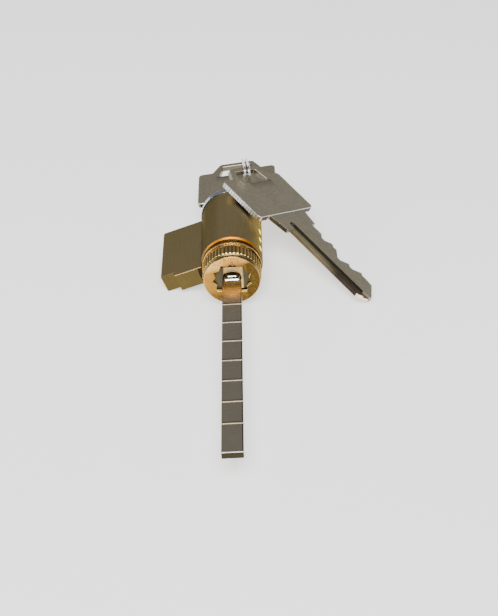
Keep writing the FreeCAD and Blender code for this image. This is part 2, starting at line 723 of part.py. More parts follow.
doc.recompute()
os.makedirs("parts", exist_ok=True)
for item in solids:
    print(item.Label, item.State, round(item.Shape.Volume, 2), item.Shape.isValid(), len(item.Shape.Solids),
          item.Shape.BoundBox)
    item.Shape.exportStep("parts/%s.step" % item.Label)
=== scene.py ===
import math

import bpy
from mathutils import Matrix, Vector


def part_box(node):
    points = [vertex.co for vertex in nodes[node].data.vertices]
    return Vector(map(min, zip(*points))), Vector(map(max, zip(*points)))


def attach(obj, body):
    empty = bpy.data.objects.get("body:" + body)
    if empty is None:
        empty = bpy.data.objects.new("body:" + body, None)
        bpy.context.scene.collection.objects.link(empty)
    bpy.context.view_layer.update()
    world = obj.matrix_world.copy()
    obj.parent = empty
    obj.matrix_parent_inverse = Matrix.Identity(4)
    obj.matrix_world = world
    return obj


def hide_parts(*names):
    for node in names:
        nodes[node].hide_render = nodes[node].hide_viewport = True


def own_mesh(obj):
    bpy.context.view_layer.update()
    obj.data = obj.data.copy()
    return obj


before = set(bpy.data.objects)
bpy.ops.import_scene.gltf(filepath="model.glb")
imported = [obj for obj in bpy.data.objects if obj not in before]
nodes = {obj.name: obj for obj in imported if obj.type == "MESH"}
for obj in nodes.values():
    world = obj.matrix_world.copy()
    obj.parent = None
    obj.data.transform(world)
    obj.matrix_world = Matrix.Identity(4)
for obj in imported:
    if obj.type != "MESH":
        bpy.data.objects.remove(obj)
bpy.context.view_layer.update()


# Shell: the barrel and its pin block are one piece of bare brass bar, turned and milled and then left
# unplated, so handling has dulled it to a brownish olive with fine lengthwise tool lines.
def node_group(name, inputs, outputs):
    """An empty node group with named sockets, its input node and its output node."""
    tree = bpy.data.node_groups.new(name, "ShaderNodeTree")
    kinds = {"value": "NodeSocketFloat", "vector": "NodeSocketVector", "colour": "NodeSocketColor"}
    for label, (kind, value) in inputs.items():
        socket = tree.interface.new_socket(name=label, in_out="INPUT", socket_type=kinds[kind])
        socket.default_value = value
    for label, kind in outputs.items():
        tree.interface.new_socket(name=label, in_out="OUTPUT", socket_type=kinds[kind])
    return tree, tree.nodes.new("NodeGroupInput"), tree.nodes.new("NodeGroupOutput")


def maths(tree, operation, *values):
    """A math node with its operands linked or set; returns its result socket."""
    node = tree.nodes.new("ShaderNodeMath")
    node.operation = operation
    for socket, value in zip(node.inputs, values):
        if isinstance(value, (int, float)):
            socket.default_value = value
        else:
            tree.links.new(value, socket)
    return node.outputs[0]


def over(tree, value, limit):
    """A mask that is full where the value is over the limit."""
    return maths(tree, "GREATER_THAN", value, limit)


def below(tree, value, limit):
    """A mask that is full where the value is below the limit."""
    return maths(tree, "LESS_THAN", value, limit)


def product(tree, *masks):
    """Masks, or a mask and a plain share, multiplied together."""
    result = masks[0]
    for mask in masks[1:]:
        result = maths(tree, "MULTIPLY", result, mask)
    return result


def within(tree, value, low, high):
    """A mask that is full between two limits."""
    return product(tree, over(tree, value, low), below(tree, value, high))


def larger(tree, *masks):
    """The strongest of the masks at each point."""
    result = masks[0]
    for mask in masks[1:]:
        result = maths(tree, "MAXIMUM", result, mask)
    return result


def squares(tree, first, second):
    """The sum of two squares."""
    return maths(tree, "ADD", product(tree, first, first), product(tree, second, second))


def past_middle(tree, count, pitch):
    """Distance from the middle of each repeat, for a count of repeats and their pitch."""
    return product(tree, maths(tree, "SUBTRACT", maths(tree, "FRACT", count), 0.5), pitch)


def mix_colour(tree, factor, first, second, blend="MIX"):
    """Two colours mixed or multiplied by a factor; each is linked or set."""
    node = tree.nodes.new("ShaderNodeMix")
    node.data_type = "RGBA"
    node.blend_type = blend
    for socket, value in ((node.inputs[0], factor), (node.inputs[6], first), (node.inputs[7], second)):
        if isinstance(value, (int, float, tuple)):
            socket.default_value = value
        else:
            tree.links.new(value, socket)
    return node.outputs[2]


def paint(tree, surface, mask, colour, share=1.0):
    """Lays a colour over the surface where the mask says."""
    if share < 1.0:
        mask = product(tree, mask, share)
    return mix_colour(tree, mask, surface, colour)


def tint(tree, surface, mask, colour):
    """Multiplies the surface's own colour where the mask says."""
    return mix_colour(tree, mask, surface, mix_colour(tree, 1.0, surface, colour, "MULTIPLY"))


def spread(tree, value, low, high, to_low=0.0, to_high=1.0):
    """Stretches a range of values to another range and stops at its ends."""
    node = tree.nodes.new("ShaderNodeMapRange")
    for socket, setting in zip(node.inputs[1:5], (low, high, to_low, to_high)):
        if isinstance(setting, (int, float)):
            socket.default_value = setting
        else:
            tree.links.new(setting, socket)
    tree.links.new(value, node.inputs[0])
    return node.outputs[0]


def placed(tree, stretch):
    """Object coordinates in metres, multiplied along each axis."""
    where = tree.nodes.new("ShaderNodeTexCoord")
    scaled = tree.nodes.new("ShaderNodeVectorMath")
    scaled.operation = "MULTIPLY"
    tree.links.new(where.outputs["Object"], scaled.inputs[0])
    if isinstance(stretch, tuple):
        scaled.inputs[1].default_value = stretch
    else:
        tree.links.new(stretch, scaled.inputs[1])
    return scaled.outputs[0]


def noise(tree, vector, detail=3.0, roughness=0.6):
    """Soft random patches, their size set by how the coordinates are stretched."""
    node = tree.nodes.new("ShaderNodeTexNoise")
    node.inputs["Scale"].default_value = 1.0
    node.inputs["Detail"].default_value = detail
    node.inputs["Roughness"].default_value = roughness
    tree.links.new(vector, node.inputs["Vector"])
    return node.outputs["Fac"]


def facing(tree, way):
    """How far the surface's own direction follows a fixed direction on the piece."""
    where = tree.nodes.new("ShaderNodeTexCoord")
    match = tree.nodes.new("ShaderNodeVectorMath")
    match.operation = "DOT_PRODUCT"
    tree.links.new(where.outputs["Normal"], match.inputs[0])
    match.inputs[1].default_value = way
    return match.outputs["Value"]


def faces(tree, way, none, full, most=1.0):
    """Mask of the surfaces that face a fixed direction, from not enough to fully."""
    return spread(tree, facing(tree, way), none, full, 0.0, most)


def distances(tree):
    """Distance along the lock axis, distance from it, and distance to its right."""
    split = tree.nodes.new("ShaderNodeSeparateXYZ")
    tree.links.new(placed(tree, (1.0, 1.0, 1.0)), split.inputs[0])
    reach = tree.nodes.new("ShaderNodeVectorMath")
    reach.operation = "LENGTH"
    tree.links.new(placed(tree, (1.0, 0.0, 1.0)), reach.inputs[0])
    return split.outputs["Y"], reach.outputs["Value"], split.outputs["X"]


def measured(tree, way, start=0.0):
    """Distance along a fixed direction on the piece, in metres."""
    length = tree.nodes.new("ShaderNodeVectorMath")
    length.operation = "DOT_PRODUCT"
    tree.links.new(placed(tree, (1.0, 1.0, 1.0)), length.inputs[0])
    length.inputs[1].default_value = way
    return maths(tree, "SUBTRACT", length.outputs["Value"], start)


def lean(tree, shader, mask, way):
    """Tilts the masked part of a surface toward a fixed direction on the piece, as a rubbed slope is."""
    before = shader.inputs["Normal"].links[0].from_socket
    slope = tree.nodes.new("ShaderNodeVectorTransform")
    slope.vector_type = "NORMAL"
    slope.convert_from = "OBJECT"
    slope.convert_to = "WORLD"
    slope.inputs[0].default_value = way
    blend = tree.nodes.new("ShaderNodeMix")
    blend.data_type = "VECTOR"
    tree.links.new(mask, blend.inputs[0])
    tree.links.new(before, blend.inputs[4])
    tree.links.new(slope.outputs[0], blend.inputs[5])
    tree.links.new(blend.outputs[1], shader.inputs["Normal"])


def make_grain():
    """Tool lines and handling patches of a bare metal surface."""
    tree, given, result = node_group(
        "metal_grain",
        {"Light": ("colour", (0.5, 0.4, 0.2, 1)), "Dark": ("colour", (0.3, 0.25, 0.1, 1)),
         "Line Scale": ("vector", (3000, 150, 3000)), "Patch Scale": ("value", 180.0),
         "Smoothest": ("value", 0.3), "Roughest": ("value", 0.5), "Relief": ("value", 0.00001)},
        {"Colour": "colour", "Roughness": "value", "Normal": "vector"})
    line_share, patch_share, patch_detail = 0.55, 0.45, 4.0
    lines = noise(tree, placed(tree, given.outputs["Line Scale"]))
    patch_at = tree.nodes.new("ShaderNodeVectorMath")
    patch_at.operation = "SCALE"
    tree.links.new(placed(tree, (1.0, 1.0, 1.0)), patch_at.inputs[0])
    tree.links.new(given.outputs["Patch Scale"], patch_at.inputs["Scale"])
    patches = noise(tree, patch_at.outputs[0], patch_detail)
    both = maths(tree, "ADD", product(tree, lines, line_share), product(tree, patches, patch_share))
    shade = spread(tree, both, low=0.36, high=0.64)
    colour = mix_colour(tree, shade, given.outputs["Dark"], given.outputs["Light"])
    tree.links.new(colour, result.inputs["Colour"])
    rough = spread(tree, both, low=0.3, high=0.7, to_low=given.outputs["Roughest"],
                   to_high=given.outputs["Smoothest"])
    tree.links.new(rough, result.inputs["Roughness"])
    bump = tree.nodes.new("ShaderNodeBump")
    bump.inputs["Strength"].default_value = 1.0
    tree.links.new(given.outputs["Relief"], bump.inputs["Distance"])
    tree.links.new(lines, bump.inputs["Height"])
    tree.links.new(bump.outputs[0], result.inputs["Normal"])
    return tree


def make_edges():
    """Marks outer edges, lightened as wear and as a painted highlight, and inner corners, darkened as
    dirt and as painted shade.
    """
    tree, given, result = node_group(
        "edge_wear_highlight_and_shade",
        {"Edge Radius": ("value", 0.00015), "Grime Reach": ("value", 0.0012),
         "Normal": ("vector", (0, 0, 0))},
        {"Edge": "value", "Grime": "value", "Normal": "vector"})
    rays = 6
    rounded = tree.nodes.new("ShaderNodeBevel")
    rounded.samples = rays
    tree.links.new(given.outputs["Edge Radius"], rounded.inputs["Radius"])
    tree.links.new(given.outputs["Normal"], rounded.inputs["Normal"])
    flat = tree.nodes.new("ShaderNodeNewGeometry")
    match = tree.nodes.new("ShaderNodeVectorMath")
    match.operation = "DOT_PRODUCT"
    tree.links.new(rounded.outputs[0], match.inputs[0])
    tree.links.new(flat.outputs["Normal"], match.inputs[1])
    shade = tree.nodes.new("ShaderNodeAmbientOcclusion")
    shade.samples = rays
    tree.links.new(given.outputs["Grime Reach"], shade.inputs["Distance"])
    turned = spread(tree, match.outputs["Value"], low=0.985, high=0.85)
    open_side = spread(tree, shade.outputs["AO"], low=0.75, high=0.95)
    tree.links.new(product(tree, turned, open_side), result.inputs["Edge"])
    tree.links.new(spread(tree, shade.outputs["AO"], low=0.8, high=0.25), result.inputs["Grime"])
    tree.links.new(rounded.outputs[0], result.inputs["Normal"])
    return tree


grain_group = make_grain()
edge_group = make_edges()


def use_group(tree, group, **settings):
    """Places a node group in a material, with its inputs linked or set."""
    node = tree.nodes.new("ShaderNodeGroup")
    node.node_tree = group
    for label, value in settings.items():
        socket = node.inputs[label.replace("_", " ")]
        if isinstance(value, bpy.types.NodeSocket):
            tree.links.new(value, socket)
        else:
            socket.default_value = value
    return node


def new_material(name, metallic):
    """A material with its node tree and its shader."""
    material = bpy.data.materials.new(name)
    material.use_nodes = True
    shader = material.node_tree.nodes["Principled BSDF"]
    shader.inputs["Metallic"].default_value = metallic
    return material, material.node_tree, shader


def worn_metal(name, light, dark, lines=(3000, 150, 3000), patch=180.0, smooth=0.3, rough=0.5,
               relief=0.00001, edge_colour=None, edge_share=0.7, edge_radius=0.00015,
               dirt_and_shade=(0.02, 0.015, 0.01, 1), dirt_and_shade_share=0.8, reach=0.0012):
    """Bare metal: grain, edges lightened as wear and as a painted highlight, and inner corners darkened
    as dirt and as painted shade.
    """
    material, tree, shader = new_material(name, 1.0)
    grain = use_group(tree, grain_group, Light=light, Dark=dark, Line_Scale=lines, Patch_Scale=patch,
                      Smoothest=smooth, Roughest=rough, Relief=relief)
    edges = use_group(tree, edge_group, Edge_Radius=edge_radius, Grime_Reach=reach,
                      Normal=grain.outputs["Normal"])
    # Open edges are painted lighter, partly wear and partly a painted highlight; inner corners are
    # painted darker, partly dirt and partly painted shade.
    edges_worn_and_highlit = paint(tree, grain.outputs["Colour"], edges.outputs["Edge"], edge_colour or light, edge_share)
    with_dirt_and_shade = paint(tree, edges_worn_and_highlit, edges.outputs["Grime"], dirt_and_shade, dirt_and_shade_share)
    tree.links.new(with_dirt_and_shade, shader.inputs["Base Color"])
    tree.links.new(grain.outputs["Roughness"], shader.inputs["Roughness"])
    tree.links.new(edges.outputs["Normal"], shader.inputs["Normal"])
    return material, tree, shader, with_dirt_and_shade


def dress(names, material):
    """Gives CAD nodes their material."""
    for name in names:
        nodes[name].data.materials.clear()
        nodes[name].data.materials.append(material)


backward, upward, leftward = (0.0, -1.0, 0.0), (0.0, 0.0, 1.0), (-1.0, 0.0, 0.0)
from_block, above_block = (0.9489, 0.0, 0.3156), (-0.3156, 0.0, 0.9489)
barrel_reach = 0.0084  # farther from the axis than this is the block
ring_span, ring_reach = (0.0074, 0.00812), 0.00782  # the turned edge at the barrel's rear end, with a painted reflection and painted shade
gap_shadow_end, gap_shadow_reach = 0.0072, 0.0092  # the painted shadow beside the cap
step_span, step_out = (0.0068, 0.00708), -0.0156  # the upper edge of the block's rear step, with a painted highlight
end_span, end_out = (0.0085, 0.00872), -0.0155  # the upper edge of the block's rear end, with a painted highlight
foot_span, foot_out = (0.0078, 0.0092), (-0.0159, -0.01546)  # the painted shadow where the step meets the end
marks_start, marks_end, mark_pitch = 0.0082, 0.0282, 0.004  # drill marks opposite the block, painted with glints
mark_radius, mark_out = 0.0008, 0.0072
brass_body, tree, shader, coated = worn_metal(
    "bare_brass", (0.46, 0.37, 0.2, 1), (0.36, 0.285, 0.15, 1), smooth=0.36, rough=0.52,
    edge_colour=(0.85, 0.6, 0.28, 1), dirt_and_shade_share=0.9)
shader.inputs["Specular Tint"].default_value = (0.3, 0.26, 0.17, 1)
along, from_axis, _ = distances(tree)
outward = measured(tree, from_block)
sideways = measured(tree, above_block)
on_barrel = below(tree, from_axis, barrel_reach)
rear_facing = faces(tree, backward, none=0.7, full=0.95)
surface = tint(tree, coated, rear_facing, (0.3, 0.24, 0.045, 1))
# Painted shade: the barrel's left flank and the surfaces turned downward are painted dark grey.
left_flank_shade = product(tree, faces(tree, leftward, none=0.35, full=0.8, most=0.85), on_barrel)
low_side_shade = faces(tree, upward, none=0.3, full=-0.25, most=0.45)
surface = paint(tree, surface, larger(tree, left_flank_shade, low_side_shade), (0.12, 0.117, 0.1, 1))
# Painted reflection: the upper part of the barrel's rear edge is painted orange as a reflection of the
# cap, and the rest dark brown as painted shade.
ring = product(tree, within(tree, along, *ring_span), over(tree, from_axis, ring_reach), on_barrel)
ring_reflection_and_shade = mix_colour(tree, faces(tree, upward, none=0.25, full=0.62), (0.2, 0.14, 0.06, 1),
                         (0.6, 0.2, 0.0, 1))
surface = paint(tree, surface, ring, ring_reflection_and_shade)
# Painted shadow: the block's rear face next to the cap is painted near black.
gap_shadow = product(tree, rear_facing, below(tree, along, gap_shadow_end), below(tree, from_axis, gap_shadow_reach))
surface = paint(tree, surface, gap_shadow, (0.03, 0.02, 0.012, 1))
broad_face = over(tree, facing(tree, above_block), limit=0.9)
# Painted highlights along the upper edges of the block's rear step and rear end.
step_edge_highlight = product(tree, within(tree, along, *step_span), broad_face, over(tree, outward, step_out))
surface = paint(tree, surface, step_edge_highlight, (0.62, 0.38, 0.14, 1))
end_edge_highlight = product(tree, within(tree, along, *end_span), broad_face, below(tree, outward, end_out))
surface = paint(tree, surface, end_edge_highlight, (0.6, 0.46, 0.24, 1), share=0.6)
count = maths(tree, "DIVIDE", maths(tree, "SUBTRACT", along, marks_start), mark_pitch)
from_mark = maths(tree, "SQRT", squares(tree, past_middle(tree, count, mark_pitch), sideways))
mark_glint = product(tree, within(tree, along, marks_start, marks_end), below(tree, from_mark, mark_radius),
               over(tree, outward, mark_out))
# Painted glints: the drill marks are painted bright yellow.
surface = paint(tree, surface, mark_glint, (1.0, 0.64, 0.02, 1))
# Painted shadow: a near-black line where the block's rear step meets its rear end.
step_foot_shadow = product(tree, rear_facing, within(tree, outward, *foot_out), within(tree, along, *foot_span))
surface = paint(tree, surface, step_foot_shadow, (0.03, 0.024, 0.01, 1), share=0.9)
tree.links.new(surface, shader.inputs["Base Color"])
slopes = larger(tree, product(tree, step_edge_highlight, 0.75), product(tree, mark_glint, 0.9))
lean(tree, shader, slopes, way=(0.05, -0.69, 0.72))
dress(["shell"], brass_body)


# Chamber cover: a strip of rolled brass pushed into its slot along the block's outer face after the
# pins and springs are in. Its rolled surface is a little brighter than the block's milled one.
brass_cover = worn_metal(
    "rolled_brass", (0.47, 0.36, 0.18, 1), (0.33, 0.25, 0.12, 1), lines=(1500, 90, 1500), smooth=0.3,
    rough=0.42, edge_colour=(0.8, 0.6, 0.3, 1))[0]
dress(["chamber_cover"], brass_cover)


# Front collar: a turned ring with bright bluish plating, seated against the barrel's front end. The
# lathe lines run round it and stay faint under the plating.
plated = worn_metal(
    "bright_plating", (0.5, 0.55, 0.68, 1), (0.4, 0.45, 0.58, 1), lines=(900, 5000, 900), patch=120.0,
    smooth=0.1, rough=0.22, relief=0.000002, edge_colour=(0.9, 0.92, 0.96, 1))[0]
dress(["front_collar"], plated)


# Plug and pin stacks: the plug is turned from brass with a milled keyway; the pins are small polished
# brass turnings that slide in its holes and in the block's chambers.
brass_plug = worn_metal(
    "turned_brass", (0.56, 0.43, 0.22, 1), (0.4, 0.3, 0.15, 1), lines=(700, 5000, 700), smooth=0.25,
    rough=0.4, edge_colour=(0.9, 0.68, 0.36, 1))[0]
dress(["plug"], brass_plug)
stacks = range(1, 6)
brass_pins = worn_metal(
    "polished_brass", (0.72, 0.55, 0.28, 1), (0.58, 0.43, 0.2, 1), lines=(2500, 2500, 2500), smooth=0.16,
    rough=0.28)[0]
dress(["key_pin_%d" % n for n in stacks] + ["driver_pin_%d" % n for n in stacks], brass_pins)


# Springs: drawn spring steel wire, wound cold into five turns; one over each driver pin and a finer one
# behind the cap's retaining pin, which is ground steel.
spring_wire = worn_metal(
    "spring_wire", (0.6, 0.6, 0.58, 1), (0.4, 0.4, 0.39, 1), lines=(4000, 4000, 4000), smooth=0.22,
    rough=0.36)[0]


def drawn_wire(node, body, line, wire_r, material):
    """Round wire along a line of points, in place of a node's faceted one."""
    corners = 12
    points = []
    side = (line[1] - line[0]).orthogonal()
    for step, at in enumerate(line):
        before = at - line[max(step - 1, 0)]
        after = line[min(step + 1, len(line) - 1)] - at
        way = (before.normalized() + after.normalized()).normalized()
        side = (side - way * side.dot(way)).normalized()
        for corner in range(corners):
            turn = 2 * math.pi * corner / corners
            points.append(at + (side * math.cos(turn) + way.cross(side) * math.sin(turn)) * wire_r)
    skin = [(step * corners + corner, step * corners + (corner + 1) % corners,
             (step + 1) * corners + (corner + 1) % corners, (step + 1) * corners + corner)
            for step in range(len(line) - 1) for corner in range(corners)]
    skin += [tuple(range(corners - 1, -1, -1)), tuple(range(len(points) - corners, len(points)))]
    mesh = bpy.data.meshes.new(node + "_wire")
    mesh.from_pydata(points, [], skin)
    mesh.update()
    mesh.shade_smooth()
    mesh.materials.append(material)
    wire = bpy.data.objects.new(node + "_wire", mesh)
    bpy.context.scene.collection.objects.link(wire)
    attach(wire, body)
    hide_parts(node)
    return wire


def wound_coil(node, body, foot, axis, radius, wire_r, height):
    """Turns of wire wound along an axis from a foot."""
    turns, steps = 5, 120
    side = axis.orthogonal().normalized()
    other = axis.cross(side)
    line = []
    for step in range(steps + 1):
        turn = 2 * turns * math.pi * step / steps
        rise = wire_r + (height - 2 * wire_r) * step / steps
        line.append(foot + axis * rise + (side * math.cos(turn) + other * math.sin(turn)) * radius)
    coil = drawn_wire(node, body, line, wire_r, spring_wire)
    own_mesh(coil)


toward_block = Vector((-0.948876, 0.0, -0.315649))
driver_top, front_stack, stack_pitch = 0.01065, 0.0262, 0.004
for n in stacks:
    foot = toward_block * driver_top + Vector((0.0, front_stack - stack_pitch * (n - 1), 0.0))
    wound_coil("pin_spring_%d" % n, "housing", foot, toward_block,
               radius=0.00095, wire_r=0.00016, height=0.0081)
cap_pin_end = 0.00605
low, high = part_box("cap_pin_spring")
foot = Vector(((low[0] + high[0]) / 2, cap_pin_end, (low[2] + high[2]) / 2))
wound_coil("cap_pin_spring", "plug", foot, Vector((0.0, 1.0, 0.0)),
           radius=0.00034, wire_r=0.00009, height=0.0059)
ground_steel = worn_metal(
    "ground_steel", (0.5, 0.4, 0.28, 1), (0.36, 0.29, 0.2, 1), lines=(900, 5000, 900), smooth=0.2,
    rough=0.34)[0]
dress(["cap_pin"], ground_steel)


# Rear cap: a knurled brass ring screwed on the plug's hub. It is the brightest turned piece, with a
# warm copper tone, and its rear face keeps the lathe's circular lines around the notched opening.
def make_turned_face():
    """Circular lathe lines around the lock axis; the ring rate is in radians per metre."""
    tree, given, result = node_group(
        "turned_face", {"Ring Rate": ("value", 9000.0), "Relief": ("value", 0.000004),
                        "Normal": ("vector", (0, 0, 0))}, {"Line": "value", "Normal": "vector"})
    _, from_axis, _ = distances(tree)
    wave = maths(tree, "SINE", product(tree, from_axis, given.outputs["Ring Rate"]))
    uneven = product(tree, wave, noise(tree, placed(tree, (300.0, 300.0, 300.0))))
    bump = tree.nodes.new("ShaderNodeBump")
    tree.links.new(given.outputs["Relief"], bump.inputs["Distance"])
    tree.links.new(uneven, bump.inputs["Height"])
    tree.links.new(given.outputs["Normal"], bump.inputs["Normal"])
    tree.links.new(spread(tree, uneven, low=-0.6, high=0.6), result.inputs["Line"])
    tree.links.new(bump.outputs[0], result.inputs["Normal"])
    return tree


turned_group = make_turned_face()
right_from, right_to = 0.0, 0.0042  # painted shade deepens to the right of the axis
left_from, left_to = -0.0015, -0.0045  # and less to its left
low_from, low_to = 0.0, -0.005  # and below it
high_way, high_span = (-0.25, 0.0, 0.97), (0.0038, 0.0052)  # the painted highlight on the upper part of the face
knurl_span, land_reach = (0.0014, 0.0054), 0.0074
flute_open, flute_floor = 0.00768, 0.00752  # the knurl's flutes, painted darker as they deepen, as painted shade
neck_span, neck_reach = (0.0003, 0.0014), (0.0068, 0.0074)  # the turned neck behind the face
crest_span, crest_reach = (0.0014, 0.00168), 0.0076  # the rear ends of the knurl's ribs, with a painted highlight
notch_reach, notch_depth = 0.0056, 0.0009  # the walls of the opening, painted with glints
brass_cap, tree, shader, coated = worn_metal(
    "bright_cap_brass", (0.86, 0.6, 0.26, 1), (0.64, 0.42, 0.17, 1), lines=(900, 900, 900), patch=320.0,
    smooth=0.2, rough=0.36, relief=0.000006, edge_colour=(1.0, 0.84, 0.45, 1), edge_radius=0.00025,
    dirt_and_shade=(0.05, 0.03, 0.012, 1), dirt_and_shade_share=0.85, reach=0.0009)
shader.inputs["Specular Tint"].default_value = (0.8, 0.62, 0.35, 1)
face = use_group(tree, turned_group, Ring_Rate=14000.0,
                 Normal=shader.inputs["Normal"].links[0].from_socket)
tree.links.new(face.outputs["Normal"], shader.inputs["Normal"])
surface = paint(tree, coated, face.outputs["Line"], (1.0, 0.74, 0.38, 1), share=0.25)
along, from_axis, across = distances(tree)
rear_facing = faces(tree, backward, none=0.6, full=0.95)
surface = tint(tree, surface, rear_facing, (0.98, 0.65, 0.2, 1))
clouds = spread(tree, noise(tree, placed(tree, (260.0, 160.0, 260.0))), low=0.44, high=0.62, to_high=0.6)
right_side = spread(tree, across, right_from, right_to, to_high=0.97)
left_side = spread(tree, across, left_from, left_to, to_high=0.45)
low_part = spread(tree, measured(tree, upward), low_from, low_to, to_high=0.9)
top_highlight = product(tree, spread(tree, measured(tree, high_way), *high_span), rear_facing)
# Random tarnish clouds, and painted shade to the right, the left and below, all weaker on the painted
# highlight at the top.
stain_and_shade = product(tree, larger(tree, clouds, left_side, right_side, low_part),
                spread(tree, top_highlight, low=0.0, high=1.0, to_low=1.0, to_high=0.25), rear_facing)
surface = paint(tree, surface, stain_and_shade, (0.075, 0.048, 0.012, 1))
# Painted highlight: the upper part of the rear face is painted a bright gold.
surface = paint(tree, surface, top_highlight, (1.0, 0.6, 0.2, 1), share=0.7)
specks = noise(tree, placed(tree, (1500.0, 900.0, 1500.0)), detail=2.0)
mottle = product(tree, spread(tree, specks, low=0.48, high=0.64, to_high=0.55),
                 spread(tree, right_side, low=0.4, high=0.97, to_low=1.0, to_high=0.35), rear_facing)
surface = paint(tree, surface, mottle, (0.34, 0.2, 0.06, 1))
knurl = within(tree, along, *knurl_span)
land = product(tree, knurl, over(tree, from_axis, land_reach))
surface = paint(tree, surface, land, (0.34, 0.28, 0.15, 1), share=0.6)
# Painted shade: the knurl's flutes are painted darker toward their floor.
flute = product(tree, knurl, spread(tree, from_axis, flute_open, flute_floor))
surface = paint(tree, surface, flute, (0.16, 0.115, 0.045, 1), share=0.9)
neck = product(tree, within(tree, along, *neck_span), within(tree, from_axis, *neck_reach))
surface = paint(tree, surface, neck, (0.2, 0.16, 0.07, 1), share=0.85)
crest_highlight = product(tree, within(tree, along, *crest_span), over(tree, from_axis, crest_reach))
surface = paint(tree, surface, crest_highlight, (1.0, 0.72, 0.25, 1))
notch_wall_glints = product(tree, below(tree, from_axis, notch_reach), below(tree, along, notch_depth),
                      faces(tree, backward, none=0.5, full=0.3))
surface = paint(tree, surface, notch_wall_glints, (1.0, 0.78, 0.24, 1))
tree.links.new(surface, shader.inputs["Base Color"])
slopes = larger(tree, product(tree, crest_highlight, 0.5), product(tree, notch_wall_glints, 0.6))
lean(tree, shader, slopes, way=(0.0, -0.7, 0.71))
dress(["rear_cap"], brass_cap)


# Tail strip: flat steel staked in its plate, zinc plated and dulled to a brownish grey. It is scored
# across so that it snaps to length, and the scores are painted darker as painted shade.
plate_end = -0.0014  # farther back than this is the strip alone
warm_span, grey_span = (-0.0108, -0.006), (-0.0062, -0.004)  # the first length carries a painted warm reflection of the cap, then turns greyer
first_score, score_pitch, scores = -0.0114, 0.00748, 7
floor_span, slope_span = (-0.0002, 0.00042), (-0.00046, -0.0002)  # a score's floor and upper slope, both in painted shade
edge_across, edge_start = 0.00222, -0.001  # the shaded right edge
inner_along, inner_across = (-0.00125, -0.00062), (-0.0017, 0.0017)  # two painted highlights in the opening
outer_along, outer_across = (0.00045, 0.0008), (-0.00105, 0.00105)
cut_end_start, end_highlight_start = -0.05, -0.06562  # the sheared end, in painted shade, and the painted highlight line above it
tail_steel, tree, shader, coated = worn_metal(
    "dull_steel", (0.47, 0.42, 0.33, 1), (0.37, 0.33, 0.26, 1), lines=(500, 2500, 500), patch=220.0,
    smooth=0.26, rough=0.42, edge_colour=(0.6, 0.56, 0.48, 1), dirt_and_shade_share=0.6)
along, _, across = distances(tree)
top_side = faces(tree, upward, none=0.85, full=0.95)
# Painted reflection: the top of the strip's first length is tinted warm like the cap.
first_length_reflection = product(tree, top_side, spread(tree, along, *warm_span), below(tree, along, plate_end))
coated = tint(tree, coated, first_length_reflection, (0.8, 0.62, 0.42, 1))
beside_plate = product(tree, top_side, within(tree, along, grey_span[0], plate_end),
                       spread(tree, along, *grey_span))
coated = tint(tree, coated, beside_plate, (0.45, 0.52, 0.58, 1))
count = maths(tree, "DIVIDE", maths(tree, "SUBTRACT", first_score + score_pitch / 2, along), score_pitch)
past = past_middle(tree, count, score_pitch)
scored = within(tree, count, 0, scores)
# Painted shade: each score is painted darker, its upper slope near black.
score_floor_shade = product(tree, scored, within(tree, past, *floor_span))
surface = paint(tree, coated, score_floor_shade, (0.17, 0.145, 0.1, 1))
score_slope_shade = product(tree, scored, within(tree, past, *slope_span))
surface = paint(tree, surface, score_slope_shade, (0.014, 0.0125, 0.009, 1))
right_edge = product(tree, top_side, over(tree, across, edge_across), below(tree, along, edge_start))
surface = paint(tree, surface, right_edge, (0.1, 0.09, 0.07, 1))
# Painted shade: the strip's top inside the plate's opening is painted dark.
opening_shade = product(tree, top_side, over(tree, along, plate_end))
surface = paint(tree, surface, opening_shade, (0.1, 0.09, 0.07, 1))
# Painted highlights: two near-white bands across the strip's root in the opening.
inner_highlight = product(tree, within(tree, along, *inner_along), within(tree, across, *inner_across))
outer_highlight = product(tree, within(tree, along, *outer_along), within(tree, across, *outer_across))
band_highlights = product(tree, maths(tree, "ADD", inner_highlight, outer_highlight), top_side)
surface = paint(tree, surface, band_highlights, (0.98, 0.97, 0.95, 1))
# Painted shade on the sheared end face, and a painted highlight along the line above it.
cut_end_shade = product(tree, faces(tree, backward, none=0.9, full=0.98), below(tree, along, cut_end_start))
surface = paint(tree, surface, cut_end_shade, (0.045, 0.035, 0.02, 1))
end_highlight = product(tree, top_side, below(tree, along, end_highlight_start))
surface = paint(tree, surface, end_highlight, (0.8, 0.76, 0.66, 1))
tree.links.new(surface, shader.inputs["Base Color"])
lean(tree, shader, larger(tree, band_highlights, product(tree, end_highlight, 0.6)), way=(0.0, -0.66, 0.75))
dress(["tail_blade"], tail_steel)


# Tail plate: a steel disc with two flats behind the cap's opening, where it turns a little before the
# cap drives it. Its middle is a bright copper tone around an arched recess in painted shadow, and its two
# wings are tinted dark.
wing_shift, wing_from, wing_to = -0.0004, 0.0022, 0.0027  # where the middle gives way to the wings
arch_wide, arch_tall, arch_foot, recess_reach = 0.003, 0.0029, -0.0015, 0.00252
plate_steel, tree, shader, coated = worn_metal(
    "plate_steel", (1.0, 0.7, 0.3, 1), (0.84, 0.58, 0.24, 1), lines=(700, 700, 700), patch=260.0,
    smooth=0.3, rough=0.5, edge_colour=(0.8, 0.64, 0.44, 1), dirt_and_shade_share=0.6, reach=0.0006)
_, from_axis, across = distances(tree)
wing = spread(tree, maths(tree, "ABSOLUTE", maths(tree, "ADD", across, wing_shift)), wing_from, wing_to)
surface = tint(tree, coated, wing, (0.1, 0.12, 0.17, 1))
